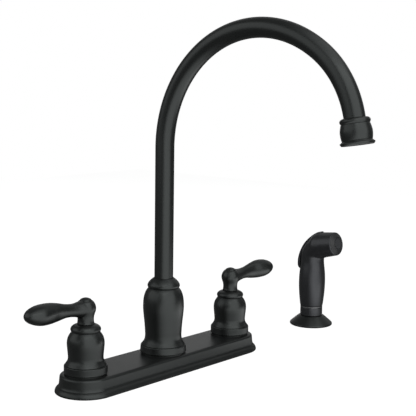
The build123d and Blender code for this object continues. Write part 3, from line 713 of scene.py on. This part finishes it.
room_for_trigger = strip(trigger_back, trigger_inner, TRIGGER_HALF_WIDTH, spare=0.35,
                         outward=4.0)
pocket = skin("pocket", room_for_trigger)
deep_pocket = skin("deep_pocket", pressed(room_for_trigger))
mouth_outline = outline(((0, -2.6), (12.15, -2.6), (12.15, 3.0), (0, 3.0)))
mouth = skin("mouth", at_head(turned(mouth_outline)))
carve(wand, pocket, deep_pocket, mouth)
dress(wand, black_plastic, "black_plastic", "sprayer_wand", "wand_shell")

# ---------------------------------------------------------------- spray nozzle
# A soft plastic ring is pressed into the head's mouth. It is a shallow cone that stands proud
# in the middle, where it holds the disc.


def grey_moulding(wire):
    return satin(wire, (0.016, 0.0165, 0.018), (0.021, 0.0215, 0.023), 0.42, grain=0.5,
                 relief=0.02)


nozzle_plastic = surface("nozzle_plastic", grey_moulding, Specular_IOR_Level=0.5)
nozzle_outline = outline(
    ((7.5, -2.0), (7.5, 1.9)),
    [(7.5, 1.9), (7.65, 2.15), (8.0, 2.15)],
    [(8.0, 2.15), (9.8, 1.35), (11.6, 0.5)],
    [(11.6, 0.5), (11.98, 0.2), (12.05, -0.3)],
    ((12.05, -0.3), (12.05, -2.0), (7.5, -2.0)),
)
nozzle = skin("nozzle_face_ring", at_head(turned(nozzle_outline, columns=80)))
dress(nozzle, nozzle_plastic, "nozzle_grey", "sprayer_wand", "nozzle_ring")

# ---------------------------------------------------------------- spray disc
# The perforated disc in the middle of the nozzle, moulded in a lighter grey plastic and pressed
# in. The water leaves through one ring of small holes, each countersunk on the face.

HOLE_CIRCLE = 6.35
HOLE_COUNT = 16


def disc_moulding(wire):
    return satin(wire, (0.036, 0.0375, 0.040), (0.044, 0.0455, 0.049), 0.42, grain=0.5,
                 relief=0.02)


def ringed(profile, circle, count):
    """The same turned form count times, evenly round a circle about the upright axis."""
    round_it = 2 * math.pi * np.arange(count) / count
    middles = circle * np.stack([np.cos(round_it), np.sin(round_it), 0 * round_it], -1)
    return [turned(profile, columns=14) + middle for middle in middles]


disc_outline = outline(((0.0, 2.1), (7.2, 2.1), (7.4, 1.9), (7.4, -2.0), (0.0, -2.0)))
hole_outline = outline(
    ((0.0, 2.7), (0.92, 2.7), (0.88, 1.5), (0.6, 1.1), (0.6, -2.6), (0.0, -2.6)),
)
disc = skin("spray_face", at_head(turned(disc_outline, columns=96)))
ring = ringed(hole_outline, HOLE_CIRCLE, HOLE_COUNT)
holes = skin("spray_holes", *[at_head(hole) for hole in ring])
carve(disc, holes)
dress(disc, surface("disc_plastic", disc_moulding, Specular_IOR_Level=0.5), "nozzle_grey",
      "sprayer_wand", "spray_disc")

# ---------------------------------------------------------------- spray valve's spring
# A small steel spring behind the plunger in the wand's valve, which pushes the trigger back.

SPRING_FRONT, SPRING_BACK = -8.4, -1.05
SPRING_HEIGHT = 72.0
loops = coil(3.0, SPRING_BACK - SPRING_FRONT, 2.3, 0.35)
across, upright, along = loops[..., 0], loops[..., 1], loops[..., 2]
loops = np.stack([SPRAYER_X + across, SPRING_FRONT + along, SPRING_HEIGHT - upright], -1)
valve_spring = skin("valve_coil", loops)
dress(valve_spring, inner_finishes["steel"], "steel", "sprayer_wand", "valve_spring")
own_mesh(valve_spring)

# ---------------------------------------------------------------- trigger
# A long thumb strip lies in the wand's back and is hinged on a pin at its upper end. Its
# foot stands a little off the grip, and pressing it opens the valve inside.

thumb_strip = strip(trigger_back, trigger_inner, TRIGGER_HALF_WIDTH)
trigger = skin("trigger_strip", thumb_strip, crease=60)
dress(trigger, black_plastic, "black_plastic", "sprayer_trigger", "spray_trigger")

# ---------------------------------------------------------------- studio floor
# A pale floor at deck level. The camera sees it plain and white, and reflections see a painted pool
# of light on it, a glow that only glossy rays see, standing in for the panels' light on it: in
# front of the faucet, and in front of the sprayer.

FLOOR_HALF = 1500.0
FLOOR_MATTE = 0.2
FLOOR_CAMERA = 0.94
# Strengths of the painted pools of light that glossy rays see on the floor, by the faucet and by
# the sprayer.
PAINTED_POOL_GLOSSY = 1.4
PAINTED_SIDE_POOL = 1.25


corner = np.array([(-1, -1, 0), (1, -1, 0), (1, 1, 0), (-1, 1, 0)]) * FLOOR_HALF
floor_mesh = bpy.data.meshes.new("studio_floor")
floor_mesh.from_pydata(corner * MM, [], [(0, 1, 2, 3)])
floor = bpy.data.objects.new("studio_floor", floor_mesh)
bpy.context.scene.collection.objects.link(floor)
floor_paint = bpy.data.materials.new("pale_floor")
wire = fresh_nodes(floor_paint)
camera_ray = wire.node("ShaderNodeLightPath", {}, take="Is Camera Ray")
through_ray = wire.node("ShaderNodeLightPath", {}, take="Is Transmission Ray")
glossy_ray = wire.node("ShaderNodeLightPath", {}, take="Is Glossy Ray")
place = wire.node("ShaderNodeTexCoord", {}, take="Object")
across = wire.node("ShaderNodeSeparateXYZ", {0: place}, take="X")
toward = wire.node("ShaderNodeSeparateXYZ", {0: place}, take="Y")


def soft_edge(turn, start, end, x=0.0):
    """0 to 1 over a straight edge on the floor, along the direction turn (degrees) from x."""
    turn = math.radians(turn)
    reach = (across - x * MM) * math.cos(turn) + toward * math.sin(turn)
    feeds = {0: reach, 1: start * MM, 2: end * MM}
    return wire.node("ShaderNodeMapRange", feeds, interpolation_type="SMOOTHSTEP")


# The painted pool of light in front of the faucet: here the floor glows for glossy rays, in place
# of light from the panels.
painted_light_pool = soft_edge(-95.0, 0.0, 120.0) * soft_edge(-165.0, -150.0, 60.0)
painted_light_pool = painted_light_pool * soft_edge(-63.5, -120.0, 70.0)
# The painted pool of light in front of the sprayer.
painted_side_pool = soft_edge(-98.7, -10.0, 90.0, SPRAYER_X) * soft_edge(-151.5, -40.0, 60.0, SPRAYER_X)
painted_side_pool = painted_side_pool * soft_edge(-63.5, -40.0, 60.0, SPRAYER_X)
painted_side_pool = painted_side_pool * (1 - soft_edge(-98.7, 200.0, 400.0, SPRAYER_X))
painted_light_pool = wire.node("ShaderNodeMath", {0: painted_light_pool, 1: painted_side_pool * PAINTED_SIDE_POOL}, operation="MAXIMUM")
matte = wire.node("ShaderNodeBsdfDiffuse", {"Color": (FLOOR_MATTE,) * 3 + (1,)})
straight = wire.node("ShaderNodeMath", {0: camera_ray, 1: through_ray}, operation="MAXIMUM")
# Camera and through rays see even white; glossy rays see the painted pool of light.
white_and_painted_pool = straight * FLOOR_CAMERA + glossy_ray * painted_light_pool * PAINTED_POOL_GLOSSY
white_and_pool_glow = wire.node("ShaderNodeEmission", {"Color": (1, 1, 1, 1), "Strength": white_and_painted_pool})
both = wire.node("ShaderNodeAddShader", {0: matte, 1: white_and_pool_glow})
wire.node("ShaderNodeOutputMaterial", {"Surface": both})
floor_mesh.materials.append(floor_paint)

# ---------------------------------------------------------------- camera's place
# The camera stands in front to the left of the faucet, nearly as high as the spout, and looks
# a little down: yaw is from +Y towards +X, pitch is downwards, and all are in radians.

CAMERA_PLACE = np.array([-713.1, -663.4, 283.4])
CAMERA_YAW = 0.8643
CAMERA_PITCH = 0.1283
CAMERA_ROLL = 0.0143
FOCAL_PIXELS = 1027.2
IMAGE_WIDTH = 416.0
SENSOR_WIDTH = 36.0
SUBJECT = np.array([0.0, -60.0, 130.0])

heading = np.array([math.sin(CAMERA_YAW) * math.cos(CAMERA_PITCH),
                    math.cos(CAMERA_YAW) * math.cos(CAMERA_PITCH), -math.sin(CAMERA_PITCH)])
level = np.array([math.cos(CAMERA_YAW), -math.sin(CAMERA_YAW), 0.0])
upright = np.cross(level, heading)
right = math.cos(CAMERA_ROLL) * level + math.sin(CAMERA_ROLL) * upright
above = math.cos(CAMERA_ROLL) * upright - math.sin(CAMERA_ROLL) * level
lens = bpy.data.cameras.new("camera")
lens.sensor_width = SENSOR_WIDTH
lens.lens = FOCAL_PIXELS / IMAGE_WIDTH * SENSOR_WIDTH
lens.clip_end = 20.0
camera = bpy.data.objects.new("camera", lens)
pose = np.column_stack([right, above, -heading, CAMERA_PLACE * MM])
camera.matrix_world = np.vstack([pose, [0, 0, 0, 1]]).T
bpy.context.scene.collection.objects.link(camera)
bpy.context.scene.camera = camera
bpy.context.scene.view_settings.view_transform = "Standard"

# ---------------------------------------------------------------- dim room
# A round room that only reflections see, as black finishes are photographed between dark
# walls. It is open behind the faucet, so that a bright finish shows the white background.

ROOM_RADIUS = 2600.0
ROOM_LEVEL = 0.12
ROOM_TINT = (0.97, 1.0, 1.0, 1.0)
ROOM_OPENING = math.radians(18.0)

away = Vector((SUBJECT - CAMERA_PLACE).tolist())
room_turn = np.linspace(-math.pi / 2, math.pi / 2 - ROOM_OPENING, 36)
room_profile = ROOM_RADIUS * np.stack([np.cos(room_turn), np.sin(room_turn)], -1)
room = skin("studio_room", turned(room_profile, columns=48))
room.data.transform(Vector((0, 0, 1)).rotation_difference(away).to_matrix().to_4x4())
room.visible_camera = False
room_paint = bpy.data.materials.new("dim_room")
wire = fresh_nodes(room_paint)
glow = wire.node("ShaderNodeEmission", {"Color": ROOM_TINT, "Strength": ROOM_LEVEL})
wire.node("ShaderNodeOutputMaterial", {"Surface": glow})
room.data.materials.append(room_paint)

# ---------------------------------------------------------------- soft panels
# Four large area lamps: the key in front to the right of the camera, and weaker ones to the
# left, above and behind. Their turn is in degrees and their sizes are in millimetres.


def panel(name, turn, elevation, distance, size, radiance):
    """An area lamp that faces the faucet. turn is counted from the camera, to its right, and
    radiance is what a mirror would show of it, where white paper is 1."""
    towards = math.atan2(*(CAMERA_PLACE - SUBJECT)[[1, 0]]) + math.radians(turn)
    up = math.radians(elevation)
    way = np.array([math.cos(towards) * math.cos(up), math.sin(towards) * math.cos(up),
                    math.sin(up)])
    lamp = bpy.data.lights.new(name, "AREA")
    lamp.shape = "RECTANGLE"
    lamp.size, lamp.size_y = size[0] * MM, size[1] * MM
    lamp.energy = radiance * math.pi * lamp.size * lamp.size_y
    holder = bpy.data.objects.new(name, lamp)
    side = np.array([-way[1], way[0], 0.0]) / math.hypot(way[0], way[1])
    pose = np.column_stack([side, np.cross(way, side), way, (SUBJECT + way * distance) * MM])
    holder.matrix_world = np.vstack([pose, [0, 0, 0, 1]]).T
    holder.visible_camera = False
    bpy.context.scene.collection.objects.link(holder)


panel("key_panel", 33.0, 17.0, 1350.0, (2250.0, 2500.0), 1.5)
panel("left_panel", -68.0, 25.0, 1500.0, (2200.0, 1300.0), 0.78)
panel("top_panel", 45.0, 70.0, 1400.0, (2100.0, 1050.0), 0.85)
panel("back_panel", 165.0, 30.0, 1500.0, (2300.0, 1500.0), 0.22)

# ---------------------------------------------------------------- white surround
# White to the camera, to reflections and through glass, and a weak even light to the rest.

SKY_LIGHT = 0.3

world = bpy.data.worlds.new("white_surround")
bpy.context.scene.world = world
wire = fresh_nodes(world)
path = [wire.node("ShaderNodeLightPath", {}, take=ray)
        for ray in ("Is Camera Ray", "Is Glossy Ray", "Is Transmission Ray")]
seen = wire.node("ShaderNodeMath", {0: path[0] + path[1], 1: path[2]}, operation="MAXIMUM")
feeds = {"Color": (1, 1, 1, 1), "Strength": seen * (1 - SKY_LIGHT) + SKY_LIGHT}
sky = wire.node("ShaderNodeBackground", feeds)
wire.node("ShaderNodeOutputWorld", {"Surface": sky})

bpy.context.view_layer.update()
